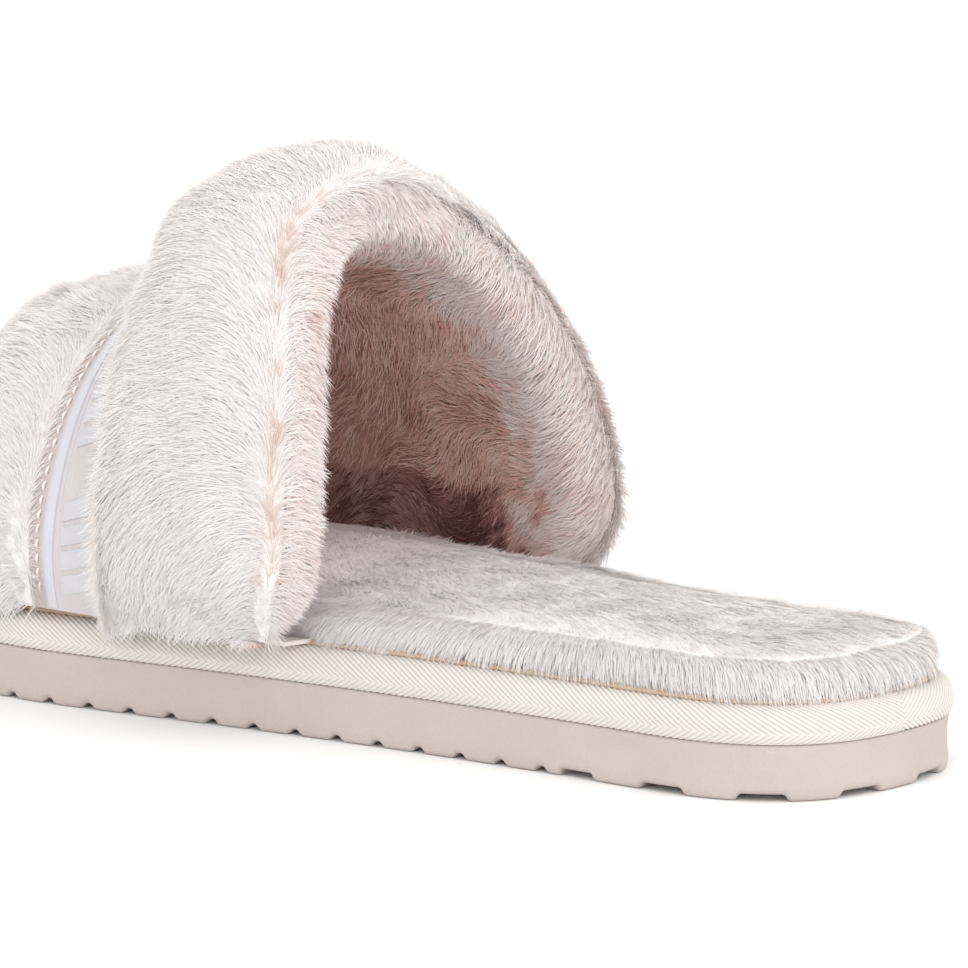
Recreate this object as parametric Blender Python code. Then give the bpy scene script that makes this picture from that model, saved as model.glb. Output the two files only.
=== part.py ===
"""Fluffy open-toe house slipper: cushioned fur upper with an elastic band, on a tape-bound platform sole.

Frame: metres, +Z up, the toe towards -Y and the heel towards +Y. The origin is on the floor, under the
middle of the object's box. Lengths below are in millimetres and become metres in point().
"""

import math

import bmesh
import bpy

MM = 0.001
GAP = 0.3  # between pieces that touch on the real slipper
LAYER_GAP = 0.6  # between the curved layers of the upper

# Sole outline
LENGTH = 269.0
HEEL_HALF = 36.6  # half width across the heel
FLARE = 0.0007  # how fast the half width grows from the heel towards the ball, per mm squared
FLARE_FROM = 42.5  # distance from the heel end where the flare starts
BALL_HALF = 53.0
WAIST_DEPTH = 2.5  # how much more the inner side pulls in under the arch of the foot
WAIST_AT = 98.0
WAIST_SPREAD = 34.0
TOE_SHIFT = 6.0  # the toe end leans this far towards the inner side
TOE_SHIFT_FROM = 170.0
HEEL_CAP, HEEL_POWER = 42.0, 2.6  # length and squareness of the rounded heel end
TOE_CAP, TOE_POWER = 84.0, 2.3
OUTLINE_STEPS = 27  # points down each side

# Heights of the layers of the sole
OUTSOLE_TOP = 11.6
TAPE_TOP = 19.2
MARGIN_TOP = 20.7
BOARD_TOP = 22.2
FOOTBED_FOAM_TOP = 24.5
FOOTBED_TOP = 32.0
FOOTBED_HALF_LIMIT = 40.3  # the footbed stays inside the lining of the upper
FILLER_HALF_LIMIT = 29.5  # the filler stays between the two lasting margins

# Tread at the rim of the outsole: lugs with notches between them
LUG_PITCH = 10.4
NOTCH_WIDTH, NOTCH_DEPTH = 2.6, 1.2
HEEL_RECESS_WIDTH, HEEL_RECESS_DEPTH = 10.4, 1.5
HEEL_LUG_PITCH = 22.6
HEEL_LUG_REACH = 82.0  # arc length from the heel end that carries the wide lugs
TREAD_RIM = 9.0  # width of the rim of lugs
TREAD_FIELD = 2.4  # height of the field inside the rim

# Upper: arches over the foot, each given by its half width and the height of its crown
ARCH_BASE = 20.7
ARCH_POWER = 2.15
ARCH_STEPS = 20
BASE_TUCK, ROLL_TUCK = 0.05, 0.13  # share by which the layers and the rolls narrow at their foot
TUCK_FROM, TUCK_TO = 53.0, 60.0  # half widths between which one turns into the other
TUCK_HEIGHT = 22.0
LEAN = 22.0  # how far the crown of the rear opening leans towards the toe
LEAN_FROM, LEAN_TO = -58.0, 10.0
LEAN_HEIGHT, LEAN_POWER = 84.0, 2.6
FOOT_TUCK, FOOT_HEIGHT = 8.0, 26.0  # how far, and below which height, the rear edge draws in towards the toe
LINING_FRONT, LINING_REAR = -92.0, 14.5
SPACE_HALF, SPACE_CROWN = 43.4, 62.0  # the space for the foot, at its front end
SPACE_RISE = 38.0  # its crown climbs by this much to the rear opening
LINING_THICK = 5.0
BACKING_THICK = 3.0
BAND_FRONT, BAND_REAR = -56.5, -22.0
BAND_THICK = 1.6
BACKING_TOP = LINING_THICK + LAYER_GAP + BACKING_THICK
BAND_TOP = BACKING_TOP + LAYER_GAP + BAND_THICK
MID_FRONT, MID_MIDDLE, MID_REAR = -75.0, -39.0, -6.0
STATIONS = (LINING_FRONT, MID_FRONT, BAND_FRONT - GAP, MID_MIDDLE, BAND_REAR + GAP, MID_REAR, LINING_REAR)
TRIM_THICK = 0.4
FILM_THICK = 0.15
STRIPE = (-52.6, -50.0)
STITCH_Y, STITCH_WIDTH, STITCH_LENGTH, STITCH_PITCH = -54.6, 0.8, 2.0, 3.6
MOTIF_REAR = -32.0
MOTIF_FRONT = -47.5
MOTIF_BARS = 17
MOTIF_SLANT = 0.075  # how far a bar turns along the arch from front to rear, in radians
MOTIF_BAR = 6.4  # a bar's width along the arch
MOTIF_LIFT = 1.0  # clears the flat facets of the band
CAVITY = 0.63  # share of a roll's section that its padding takes
PADDING = 0.56

COLOURS = {  # colour, roughness
    "outsole_rubber": ((0.72, 0.62, 0.55), 0.75),
    "eva_foam": ((0.85, 0.82, 0.78), 0.85),
    "tape_cotton": ((0.88, 0.83, 0.76), 0.9),
    "fibre_board": ((0.62, 0.52, 0.40), 0.9),
    "fur": ((0.86, 0.82, 0.80), 1.0),
    "lining_fur": ((0.70, 0.58, 0.54), 1.0),
    "fibre_fill": ((0.93, 0.93, 0.92), 1.0),
    "backing_knit": ((0.75, 0.66, 0.58), 0.95),
    "elastic": ((0.72, 0.66, 0.66), 0.7),
    "print_film": ((0.77, 0.77, 0.84), 0.45),
    "thread": ((0.95, 0.93, 0.90), 0.35),
}


def clear_scene():
    for obj in list(bpy.data.objects):
        bpy.data.objects.remove(obj, do_unlink=True)


def material(name):
    """The Principled material of one part, made once."""
    if name in bpy.data.materials:
        return bpy.data.materials[name]
    colour, roughness = COLOURS[name]
    mat = bpy.data.materials.new(name)
    mat.use_nodes = True
    shader = mat.node_tree.nodes["Principled BSDF"]
    shader.inputs["Base Color"].default_value = (*colour, 1.0)
    shader.inputs["Roughness"].default_value = roughness
    shader.inputs["Metallic"].default_value = 0.0
    return mat


def point(x, y, z):
    return (x * MM, y * MM, z * MM)


# ---------------------------------------------------------------- outlines


def smooth_min(a, b, soft=2.5):
    return -soft * math.log(math.exp(-a / soft) + math.exp(-b / soft))


def rounded_end(distance, cap, power):
    """Share of the full width at a distance from the end of the sole."""
    if distance >= cap:
        return 1.0
    return max(1.0 - ((cap - distance) / cap) ** power, 0.0) ** (1.0 / power)


def sole_point(t, side):
    """Point of the sole outline, t mm from the heel end. side is +1 for the outer side of the foot."""
    half = smooth_min(HEEL_HALF + FLARE * max(t - FLARE_FROM, 0.0) ** 2, BALL_HALF)
    if side < 0:
        half -= WAIST_DEPTH * math.exp(-(((t - WAIST_AT) / WAIST_SPREAD) ** 2))
    half *= rounded_end(t, HEEL_CAP, HEEL_POWER)
    half *= rounded_end(LENGTH - t, TOE_CAP, TOE_POWER)
    shift = max(t - TOE_SHIFT_FROM, 0.0) / (LENGTH - TOE_SHIFT_FROM)
    return (side * half - TOE_SHIFT * shift * shift, LENGTH / 2 - t)


def sole_outline(steps=OUTLINE_STEPS):
    """Closed outline, anticlockwise from above, starting at the heel end."""
    near, far = [], []
    for i in range(1, steps):
        share = 0.5 - 0.5 * math.cos(math.pi * i / steps)
        near.append(sole_point(LENGTH * share, 1))
        far.append(sole_point(LENGTH * share, -1))
    heel = sole_point(0.0, 1)
    toe = sole_point(LENGTH, 1)
    return [heel] + far + [toe] + near[::-1]


def inset(outline, distance):
    """The outline moved inwards by a distance."""
    count = len(outline)
    moved = []
    for i in range(count):
        (x0, y0), (x1, y1) = outline[i - 1], outline[(i + 1) % count]
        dx, dy = x1 - x0, y1 - y0
        size = math.hypot(dx, dy)
        x, y = outline[i]
        moved.append((x - dy / size * distance, y + dx / size * distance))
    return moved


def limit_width(outline, half):
    """The outline pulled in smoothly so that it stays within a half width."""
    return [(math.copysign(smooth_min(abs(x), half, 1.0), x) if abs(x) > 3 else x, y) for x, y in outline]


def resample(outline, places):
    """Points of the closed outline at the given arc lengths."""
    count = len(outline)
    ends = [0.0]
    for i in range(count):
        a, b = outline[i], outline[(i + 1) % count]
        ends.append(ends[-1] + math.hypot(b[0] - a[0], b[1] - a[1]))
    found = []
    for place in places:
        i = max(k for k in range(count) if ends[k] <= place + 1e-9)
        share = (place - ends[i]) / (ends[i + 1] - ends[i])
        a, b = outline[i], outline[(i + 1) % count]
        found.append((a[0] + (b[0] - a[0]) * share, a[1] + (b[1] - a[1]) * share))
    return found


def perimeter(outline):
    return sum(math.dist(outline[i - 1], outline[i]) for i in range(len(outline)))


# ---------------------------------------------------------------- solids


def add_object(name, bm, slot, smooth_angle=40.0):
    """One named object from a closed mesh, with its faces turned outwards."""
    bmesh.ops.recalc_face_normals(bm, faces=bm.faces[:])
    mesh = bpy.data.meshes.new(name)
    bm.to_mesh(mesh)
    bm.free()
    mesh.materials.append(material(slot))
    mesh.shade_smooth()
    mesh.set_sharp_from_angle(angle=math.radians(smooth_angle))
    obj = bpy.data.objects.new(name, mesh)
    bpy.context.scene.collection.objects.link(obj)
    return obj


def skin_loops(bm, rings, closed=False):
    """Quads between neighbouring rings of points. Returns the rings' vertices."""
    verts = [[bm.verts.new(p) for p in ring] for ring in rings]
    pairs = list(zip(verts, verts[1:]))
    if closed:
        pairs.append((verts[-1], verts[0]))
    for low, high in pairs:
        for i in range(len(low)):
            j = (i + 1) % len(low)
            bm.faces.new((low[i], low[j], high[j], high[i]))
    return verts


def stacked_solid(name, layers, slot):
    """A solid from closed outlines, each given as (outline, height), capped at both ends."""
    bm = bmesh.new()
    verts = skin_loops(bm, [[point(x, y, z) for x, y in outline] for outline, z in layers])
    bm.faces.new(verts[0][::-1])
    bm.faces.new(verts[-1])
    return add_object(name, bm, slot)


def slab(name, outline, low, high, slot, edge=0.5):
    """A flat layer with a small chamfer at its upper edge."""
    return stacked_solid(name, [(outline, low), (outline, high - edge), (inset(outline, edge), high)], slot)


# ---------------------------------------------------------------- sole


def notch_places(length):
    """(arc length, height) pairs along the lower edge of the outsole, from the heel end round to it again."""
    places = [(0.0, 0.0)]

    def add_notch(centre, width, depth, slope):
        places.extend(
            (
                (centre - width / 2 - slope, 0.0),
                (centre - width / 2, depth),
                (centre + width / 2, depth),
                (centre + width / 2 + slope, 0.0),
            )
        )

    centre = HEEL_LUG_PITCH / 2
    half = []
    while centre < HEEL_LUG_REACH:
        half.append((centre, HEEL_RECESS_WIDTH, HEEL_RECESS_DEPTH))
        centre += HEEL_LUG_PITCH
    centre = HEEL_LUG_REACH + LUG_PITCH / 2
    while centre < length / 2 - LUG_PITCH / 3:
        half.append((centre, NOTCH_WIDTH, NOTCH_DEPTH))
        centre += LUG_PITCH
    for centre, width, depth in half:
        add_notch(centre, width, depth, 0.6)
    for centre, width, depth in reversed(half):
        add_notch(length - centre, width, depth, 0.6)
    return places


def make_outsole(outline):
    """Moulded outsole with a rim of lugs round a raised field."""
    side = inset(outline, 0.9)
    places = notch_places(perimeter(side))
    spots = [place for place, _ in places]
    heights = [height for _, height in places]
    wall = resample(side, spots)

    def ring(distance, level):
        moved = inset(wall, distance) if distance else wall
        return [point(x, y, level(h)) for (x, y), h in zip(moved, heights)]

    bm = bmesh.new()
    verts = skin_loops(
        bm,
        [
            ring(TREAD_RIM, lambda h: TREAD_FIELD),
            ring(TREAD_RIM - 0.3, lambda h: min(h, TREAD_FIELD)),
            ring(0.5, lambda h: h),
            ring(0.0, lambda h: h + 0.7),
            ring(0.0, lambda h: OUTSOLE_TOP),
        ],
    )
    bm.faces.new(verts[0][::-1])
    bm.faces.new(verts[-1])
    return add_object("outsole", bm, "outsole_rubber", 30.0)


def make_platform(outline):
    """Foam platform inside the binding tape, with rounded sides."""
    low, high = OUTSOLE_TOP + GAP + 1.3, TAPE_TOP - 1.3
    middle = (low + high) / 2
    layers = [(inset(outline, 3.6), low), (inset(outline, 1.9), middle - 0.8)]
    layers += [(inset(outline, 2.1), middle + 0.4), (inset(outline, 7.0), high)]
    return stacked_solid("platform_foam", layers, "eva_foam")


def make_tape(outline):
    """Woven tape wrapped round the platform's edge: a channel that opens inwards."""
    low, high = OUTSOLE_TOP + GAP, TAPE_TOP
    outer = [(9.0, low), (2.2, low), (0.4, low + 1.6), (0.0, low + 3.4), (0.9, high - 1.9), (3.6, high - 0.4)]
    outer += [(6.2, high), (9.0, high)]
    inner = [(9.0, high - 1.0), (5.8, high - 1.0), (1.6, low + 4.2), (1.5, low + 2.4), (3.4, low + 1.0)]
    inner += [(9.0, low + 1.0)]
    bm = bmesh.new()
    rings = [[point(x, y, z) for x, y in inset(outline, d)] for d, z in outer + inner]
    skin_loops(bm, rings, closed=True)
    return add_object("binding_tape", bm, "tape_cotton")


def make_footbed(outline):
    """Board, foam and fur cover of the footbed, with the filler under them."""
    filler = limit_width(inset(outline, 12.0), FILLER_HALF_LIMIT)
    slab("bottom_filler", filler, TAPE_TOP + GAP, MARGIN_TOP, "eva_foam")
    rim = limit_width(inset(outline, 4.6), FOOTBED_HALF_LIMIT)
    slab("insole_board", inset(rim, 4.6), MARGIN_TOP + GAP, BOARD_TOP, "fibre_board", 0.2)
    slab("footbed_foam", inset(rim, 4.6), BOARD_TOP + GAP, FOOTBED_FOAM_TOP, "eva_foam", 0.8)
    low = MARGIN_TOP + GAP
    layers = [
        (inset(rim, 4.2), FOOTBED_FOAM_TOP + GAP),
        (inset(rim, 4.2), low),
        (inset(rim, 1.4), low),
        (rim, low + 2.2),
        (inset(rim, 0.5), low + 5.2),
        (inset(rim, 3.0), FOOTBED_TOP - 2.0),
        (inset(rim, 8.0), FOOTBED_TOP - 0.6),
        (inset(rim, 16.0), FOOTBED_TOP),
    ]
    stacked_solid("footbed_fur", layers, "fur")


# ---------------------------------------------------------------- upper


def lean(y, z):
    """The rear of the upper leans towards the toe at the crown, and draws in a little at its foot."""
    share = min(max((y - LEAN_FROM) / (LEAN_TO - LEAN_FROM), 0.0), 1.0)
    height = min(max((z - ARCH_BASE) / LEAN_HEIGHT, 0.0), 1.0)
    foot = max(1.0 - (z - ARCH_BASE) / FOOT_HEIGHT, 0.0)
    return y - share * (LEAN * height**LEAN_POWER + FOOT_TUCK * foot * foot)


def arch_point(y, half, crown, angle, reach=0.0):
    """Point of an arch over the foot. angle goes from 0 at the outer side to pi at the inner side.

    reach moves the crown along the foot, on top of the upper's own lean."""
    cosine, sine = math.cos(angle), math.sin(angle)
    x = half * math.copysign(abs(cosine) ** (2 / ARCH_POWER), cosine)
    rise = max(sine, 0.0) ** (2 / ARCH_POWER)
    z = ARCH_BASE + GAP + (crown - ARCH_BASE - GAP) * rise
    low = max(1.0 - (z - ARCH_BASE) / TUCK_HEIGHT, 0.0)
    wide = min(max((half - TUCK_FROM) / (TUCK_TO - TUCK_FROM), 0.0), 1.0)
    x *= 1.0 - (BASE_TUCK + (ROLL_TUCK - BASE_TUCK) * wide) * low * low
    return (x, lean(y + reach * rise, z), z)


def lining_arch(y):
    """(half width, crown height) of the space for the foot, at a distance along the slipper."""
    share = min(max((y - LINING_FRONT) / (LINING_REAR - LINING_FRONT), 0.0), 1.0)
    return (SPACE_HALF, SPACE_CROWN + SPACE_RISE * share)


def arch_angles(steps=ARCH_STEPS):
    return [math.pi * i / steps for i in range(steps + 1)]


def arch_sweep(name, section, slot, hole=None):
    """A solid swept over the foot. section and hole are lists of (y, half width, crown, reach)."""
    bm = bmesh.new()

    def sweep(points):
        grid = []
        for angle in arch_angles():
            grid.append([bm.verts.new(point(*arch_point(y, w, c, angle, r))) for y, w, c, r in points])
        for a, b in zip(grid, grid[1:]):
            for i in range(len(a)):
                j = (i + 1) % len(a)
                bm.faces.new((a[i], a[j], b[j], b[i]))
        return grid

    outer = sweep(section)
    if hole is None:
        bm.faces.new(outer[0])
        bm.faces.new(outer[-1])
    else:
        inner = sweep(hole)
        for a, b in ((outer[0], inner[0]), (outer[-1], inner[-1])):
            for i in range(len(a)):
                j = (i + 1) % len(a)
                bm.faces.new((a[i], a[j], b[j], b[i]))
    return add_object(name, bm, slot, 50.0)


def layer_section(start, thick):
    """Section of a layer that follows the lining: from start to start + thick above the space for the foot."""
    below, above = [], []
    for y in STATIONS:
        half, crown = lining_arch(y)
        below.append((y, half + start, crown + start, 0.0))
        above.append((y, half + start + thick, crown + start + thick, 0.0))
    return below + above[::-1]


def scaled(section, middle, share):
    """The section shrunk about a point inside it."""
    return [tuple(m + (v - m) * share for m, v in zip(middle, p)) for p in section]


def on_backing(y, offset=0.0):
    """Point of a section at a height above the backing's outer face."""
    half, crown = lining_arch(y)
    start = BACKING_TOP + LAYER_GAP + offset
    return (y, half + start, crown + start, 0.0)


def rear_roll():
    """Section of the rear roll: round in front, with a flat rear face round the opening."""
    return [
        on_backing(LINING_REAR),
        on_backing(MID_REAR),
        on_backing(BAND_REAR + 2.0 * GAP),
        on_backing(BAND_REAR + 2.0 * GAP, BAND_THICK + LAYER_GAP + 2.0 * GAP),
        (-31.0, 57.0, 97.4, -2.0),
        (-32.5, 58.8, 103.0, -4.0),
        (-27.0, 60.6, 110.5, -4.0),
        (-17.0, 61.6, 115.0, -2.0),
        (-4.0, 61.8, 116.6, 0.0),
        (9.0, 60.8, 115.6, 0.0),
        (16.0, 58.0, 113.4, 0.0),
        (18.0, 55.0, 111.0, 0.0),
    ]


def front_roll():
    """Section of the front roll: a lower cushion that rounds down to the open toe."""
    return [
        on_backing(BAND_FRONT - GAP),
        on_backing(MID_FRONT),
        on_backing(LINING_FRONT),
        (-96.5, 54.0, 73.0, 0.0),
        (-97.0, 55.4, 75.5, 0.0),
        (-93.0, 57.0, 79.5, 0.0),
        (-84.0, 58.6, 83.2, 0.0),
        (-72.0, 59.0, 86.0, 0.0),
        (-62.0, 58.2, 87.4, 0.0),
        (BAND_FRONT - GAP, 56.4, 86.8, 0.0),
    ]


def make_upper():
    """Lining, backing and the two padded rolls."""
    arch_sweep("upper_lining", layer_section(0.0, LINING_THICK), "lining_fur")
    arch_sweep("vamp_backing", layer_section(LINING_THICK + LAYER_GAP, BACKING_THICK), "backing_knit")
    rolls = (
        ("front", front_roll(), (-77.0, 56.2, 81.0, 0.0)),
        ("rear", rear_roll(), (-6.0, 57.4, 109.0, -1.0)),
    )
    for side, section, middle in rolls:
        arch_sweep(f"{side}_roll_cover", section, "fur", hole=scaled(section, middle, CAVITY))
        arch_sweep(f"{side}_roll_padding", scaled(section, middle, PADDING), "fibre_fill")


def make_margin(name, side):
    """Strip of the upper's backing that turns in under the footbed."""
    outer, inner = 44.5, FILLER_HALF_LIMIT + GAP
    low, high = TAPE_TOP + GAP, MARGIN_TOP
    front, rear = LINING_FRONT + 6.0, LINING_REAR - 4.0
    outline = [(inner, front), (outer, front + 3.0), (outer, rear - 3.0), (inner, rear)]
    if side > 0:
        loop = outline
    else:
        loop = [(-x, y) for x, y in outline][::-1]
    stacked_solid(name, [(loop, low), (loop, high - GAP)], "backing_knit")


# ---------------------------------------------------------------- elastic band


def band_surface(y, angle, offset):
    """Point above the band's outer face."""
    half, crown = lining_arch(y)
    return arch_point(y, half + BAND_TOP + offset, crown + BAND_TOP + offset, angle)


def strip(name, rows, slot):
    """A thin solid along the band. rows are (front y, front angle, rear y, rear angle, low, high)."""
    bm = bmesh.new()
    rings = []
    for y0, a0, y1, a1, low, high in rows:
        ring = [band_surface(y0, a0, low), band_surface(y1, a1, low)]
        ring += [band_surface(y1, a1, high), band_surface(y0, a0, high)]
        rings.append([point(*p) for p in ring])
    verts = skin_loops(bm, rings)
    bm.faces.new(verts[0])
    bm.faces.new(verts[-1])
    return add_object(name, bm, slot, 50.0)


def arch_angle_at(distance, table):
    """Angle at an arc length along the band's outer face."""
    for (s0, a0), (s1, a1) in zip(table, table[1:]):
        if s1 >= distance:
            return a0 + (a1 - a0) * (distance - s0) / (s1 - s0)
    return table[-1][1]


def arc_table(y, steps=180):
    table, total, last = [], 0.0, None
    for i in range(steps + 1):
        angle = math.pi * i / steps
        here = band_surface(y, angle, 0.0)
        if last is not None:
            total += math.dist(last, here)
        table.append((total, angle))
        last = here
    return table


def even_rows(front, rear, low, high, margin=0.0):
    """Rows of a strip of even width from one foot of the arch to the other."""
    steps = 2 * ARCH_STEPS
    angles = [margin + (math.pi - 2 * margin) * i / steps for i in range(steps + 1)]
    return [(front, a, rear, a, low, high) for a in angles]


def make_motif():
    """Print on the band: a thin film with raised slanted bars."""
    table = arc_table((MOTIF_FRONT + MOTIF_REAR) / 2)
    pitch = table[-1][0] / (MOTIF_BARS + 1)
    half = MOTIF_BAR / 2
    places = [(-half - 0.4, FILM_THICK), (-half, TRIM_THICK), (0.0, TRIM_THICK), (half, TRIM_THICK)]
    places += [(half + 0.4, FILM_THICK), (pitch / 2, FILM_THICK)]
    rows = []
    for k in range(1, MOTIF_BARS + 1):
        for place, high in places:
            angle = arch_angle_at(pitch * k + place, table)
            lift = (MOTIF_LIFT, MOTIF_LIFT + high)
            rows.append((MOTIF_FRONT, angle - MOTIF_SLANT, MOTIF_REAR, angle + MOTIF_SLANT, *lift))
    strip("band_motif", rows[:-1], "print_film")


def make_stitches():
    """One thread along the front edge of the band: each stitch stands up and then dives towards the next."""
    table = arc_table(STITCH_Y)
    rows = []
    for k in range(1, int(table[-1][0] / STITCH_PITCH) - 1):
        for start, half, high in ((0.0, STITCH_WIDTH / 2, TRIM_THICK), (STITCH_LENGTH, 0.15, FILM_THICK)):
            angle = arch_angle_at(k * STITCH_PITCH + start, table)
            rows.append((STITCH_Y - half, angle, STITCH_Y + half, angle, GAP, GAP + high))
    strip("band_stitches", rows, "thread")


def make_band():
    """Elastic webbing with its stripe, its raised print and its row of bright stitches."""
    strip("elastic_band", even_rows(BAND_FRONT, BAND_REAR, -BAND_THICK, 0.0), "elastic")
    strip("band_stripe", even_rows(*STRIPE, GAP, GAP + TRIM_THICK, margin=0.1), "print_film")
    make_motif()
    make_stitches()


def main():
    clear_scene()
    outline = sole_outline()
    make_outsole(outline)
    make_platform(outline)
    make_tape(outline)
    make_footbed(outline)
    make_margin("lasting_margin_left", 1)
    make_margin("lasting_margin_right", -1)
    make_upper()
    make_band()


main()
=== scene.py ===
"""Looks of a fluffy open-toe house slipper: fur, herringbone tape, moulded outsole, printed elastic band.

Frame as in the CAD part: +Z up, the toe towards -Y, the heel towards +Y, the outer side at +X. Shapes are
worked out in millimetres and become metres when their mesh is made. Section and outline numbers repeat the
CAD part's own.
"""
import math
from math import pi

import bmesh
import bpy
import numpy as np
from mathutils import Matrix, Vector
from mathutils.kdtree import KDTree


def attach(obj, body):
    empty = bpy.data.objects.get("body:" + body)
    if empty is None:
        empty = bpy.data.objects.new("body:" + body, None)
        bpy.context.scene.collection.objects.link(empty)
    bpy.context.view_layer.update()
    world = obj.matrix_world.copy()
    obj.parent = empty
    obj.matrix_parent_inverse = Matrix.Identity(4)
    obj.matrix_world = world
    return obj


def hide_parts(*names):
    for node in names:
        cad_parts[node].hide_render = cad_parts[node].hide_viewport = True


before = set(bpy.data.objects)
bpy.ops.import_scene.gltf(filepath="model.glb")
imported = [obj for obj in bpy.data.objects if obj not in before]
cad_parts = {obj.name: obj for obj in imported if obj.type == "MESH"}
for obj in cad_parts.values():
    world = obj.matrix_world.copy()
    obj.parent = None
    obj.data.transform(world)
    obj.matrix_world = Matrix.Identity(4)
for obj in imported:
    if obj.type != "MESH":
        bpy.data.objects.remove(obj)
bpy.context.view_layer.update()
SCENE = bpy.context.scene

MM = 0.001
GAP, LAYER_GAP = 0.3, 0.6

# Sole outline, as in the CAD part
LENGTH = 269.0
HEEL_HALF, FLARE, FLARE_FROM, BALL_HALF = 36.6, 0.0007, 42.5, 53.0
WAIST_DEPTH, WAIST_AT, WAIST_SPREAD = 2.5, 98.0, 34.0
TOE_SHIFT, TOE_SHIFT_FROM = 6.0, 170.0
HEEL_CAP, HEEL_POWER = 42.0, 2.6
TOE_CAP, TOE_POWER = 84.0, 2.3
OUTSOLE_TOP, TAPE_TOP = 11.6, 19.2
FOOTBED_HALF_LIMIT = 40.3
LUG_PITCH, HEEL_LUG_PITCH, HEEL_LUG_REACH = 10.4, 22.6, 82.0

# Upper, as in the CAD part
ARCH_BASE, ARCH_POWER = 20.7, 2.15
BASE_TUCK, ROLL_TUCK, TUCK_FROM, TUCK_TO, TUCK_HEIGHT = 0.05, 0.13, 53.0, 60.0, 22.0
LEAN, LEAN_FROM, LEAN_TO, LEAN_HEIGHT, LEAN_POWER = 22.0, -58.0, 10.0, 84.0, 2.6
FOOT_TUCK, FOOT_HEIGHT = 8.0, 26.0
LINING_FRONT, LINING_REAR = -92.0, 14.5
SPACE_HALF, SPACE_CROWN, SPACE_RISE = 43.4, 62.0, 38.0
BACKING_TOP, BAND_TOP, BAND_THICK = 8.6, 10.8, 1.6
BAND_FRONT, BAND_REAR, BAND_BORDER = -56.5, -22.0, -53.4
STITCH_LINE, STITCH_PITCH, STITCH_LENGTH = -54.7, 3.1, 2.0
STRIPE, THIN_LINE = (-52.8, -50.0), (-49.0, -48.6)
MOTIF_FRONT, MOTIF_REAR, BARS_REAR = -47.5, -32.0, -26.0
BAR_PAIRS, BAR_HALF, BAR_HEIGHT, BAR_SLANT = 18, 0.19, 0.42, 1.9

# Herringbone tape and its top edge
RIB_PITCH, RIB_SLOPE, RIB_HEIGHT, TAPE_STEP, TAPE_COUNT = 1.6, 1.6, 0.15, 0.29, 2150
CORD_IN, CORD_Z, CORD_HALF, CORD_RISE, CORD_RIBS, CORD_COUNT = 4.3, 19.6, 0.9, 0.6, 480, 700

# Fur
ROLL_PILE, FOOTBED_PILE, LINING_PILE = 7.2, 5.6, 4.6  # length
FOOTBED_DENSITY, LINING_DENSITY = 8.0, 5.0  # strands to the square millimetre
CREASE = 0.12  # how near the crown the pile of both sides turns, as a share of the arch
MAX_STRANDS = 38000  # in one piece
ROOT_DEPTH = 0.4  # how far a strand starts under its skin
# Steps along a strand: share of its length, share of its lift, and how far it dips
STRAND_STEPS = ((0.36, 1.0, 0.0), (0.34, 0.45, 0.02), (0.30, 0.25, 0.10))
STRAND_REACH = (0.0, 0.25, 0.65, 1.0)  # how much each point of a strand is gathered and droops
STRAND_TAPER = 0.72  # width of the outer part, as a share of the root's
STRAND_FACES = np.array([(0, 1, 3), (0, 3, 2), (2, 3, 5), (2, 5, 4), (4, 5, 6)])
STRAND_V = np.array([0.0, 0.0, 0.42, 0.42, 0.75, 0.75, 1.0])
STRAND_U = np.array([-1.0, 1.0, -1.0, 1.0, -0.8, 0.8, 0.0]) * 0.02

# Padding of the rolls, blown up as cloth
CLOTH_VOXEL, CLOTH_PRESSURE, CLOTH_STEPS = 0.005, 60.0, 20
CLOTH_SPARE = 0.05  # the skin is cut this share larger than its padding
CLOTH_REACH = 2.5  # how far the simulation may move a point, in millimetres

# Studio
WORLD_LIGHT = 0.94
SUNS = (  # name, the way the light goes, strength, angle across in degrees
    ("side_softbox", (-0.86, -0.30, -0.42), 0.35, 50.0),
    ("heel_softbox", (-0.15, -0.80, -0.65), 0.85, 60.0),
    ("overhead_softbox", (-0.1, 0.1, -1.0), 0.12, 60.0),
)
FLOOR_REACH = 30.0
LENS, SENSOR = 271.2, 36.0
CAMERA_AT, CAMERA_AIM = (1.13547, 1.00268, 0.29846), (0.015114, 0.036640, 0.052946)


# Numbers


def unit(v):
    return v / np.maximum(np.linalg.norm(v, axis=-1, keepdims=True), 1e-9)


def ease(low, high, value):
    """From 0 at low to 1 at high, slowly at both ends."""
    share = np.clip((value - low) / (high - low), 0.0, 1.0)
    return share * share * (3.0 - 2.0 * share)


def chance(cells, salt):
    """Repeatable value from 0 to 1 for rows of whole numbers."""
    mixed = np.sin(cells @ np.array([12.9898, 78.233, 37.719]) + salt * 4.1414) * 43758.5453
    return mixed - np.floor(mixed)


def noise(points, scale, salt=0):
    """Smooth noise from -1 to 1 over points in millimetres."""
    spot = points / scale
    low = np.floor(spot)
    part = spot - low
    part = part * part * (3.0 - 2.0 * part)
    total = np.zeros(len(spot))
    for corner in np.ndindex(2, 2, 2):
        weight = np.prod(np.where(corner, part, 1.0 - part), axis=1)
        total += weight * chance(low + corner, salt)
    return total * 2.0 - 1.0


def nearest_seed(points, size, salt):
    """Nearest of a cloud of scattered centres, one in each cell: its place and its own random number."""
    low = np.floor(points / size)
    best = np.full(len(points), 1e9)
    place = np.zeros_like(points)
    number = np.zeros(len(points))
    for corner in np.ndindex(3, 3, 3):
        cell = low + np.array(corner) - 1
        jitter = np.stack([chance(cell, salt + k) for k in (1, 2, 3)], axis=1)
        centre = (cell + jitter) * size
        away = np.sum((centre - points) ** 2, axis=1)
        closer = away < best
        best[closer], place[closer] = away[closer], centre[closer]
        number[closer] = chance(cell, salt + 4)[closer]
    return place, number


def run_along(line):
    """Distance of each point from the start of a line."""
    return np.hstack([[0.0], np.cumsum(np.linalg.norm(np.diff(line, axis=0), axis=1))])


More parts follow.
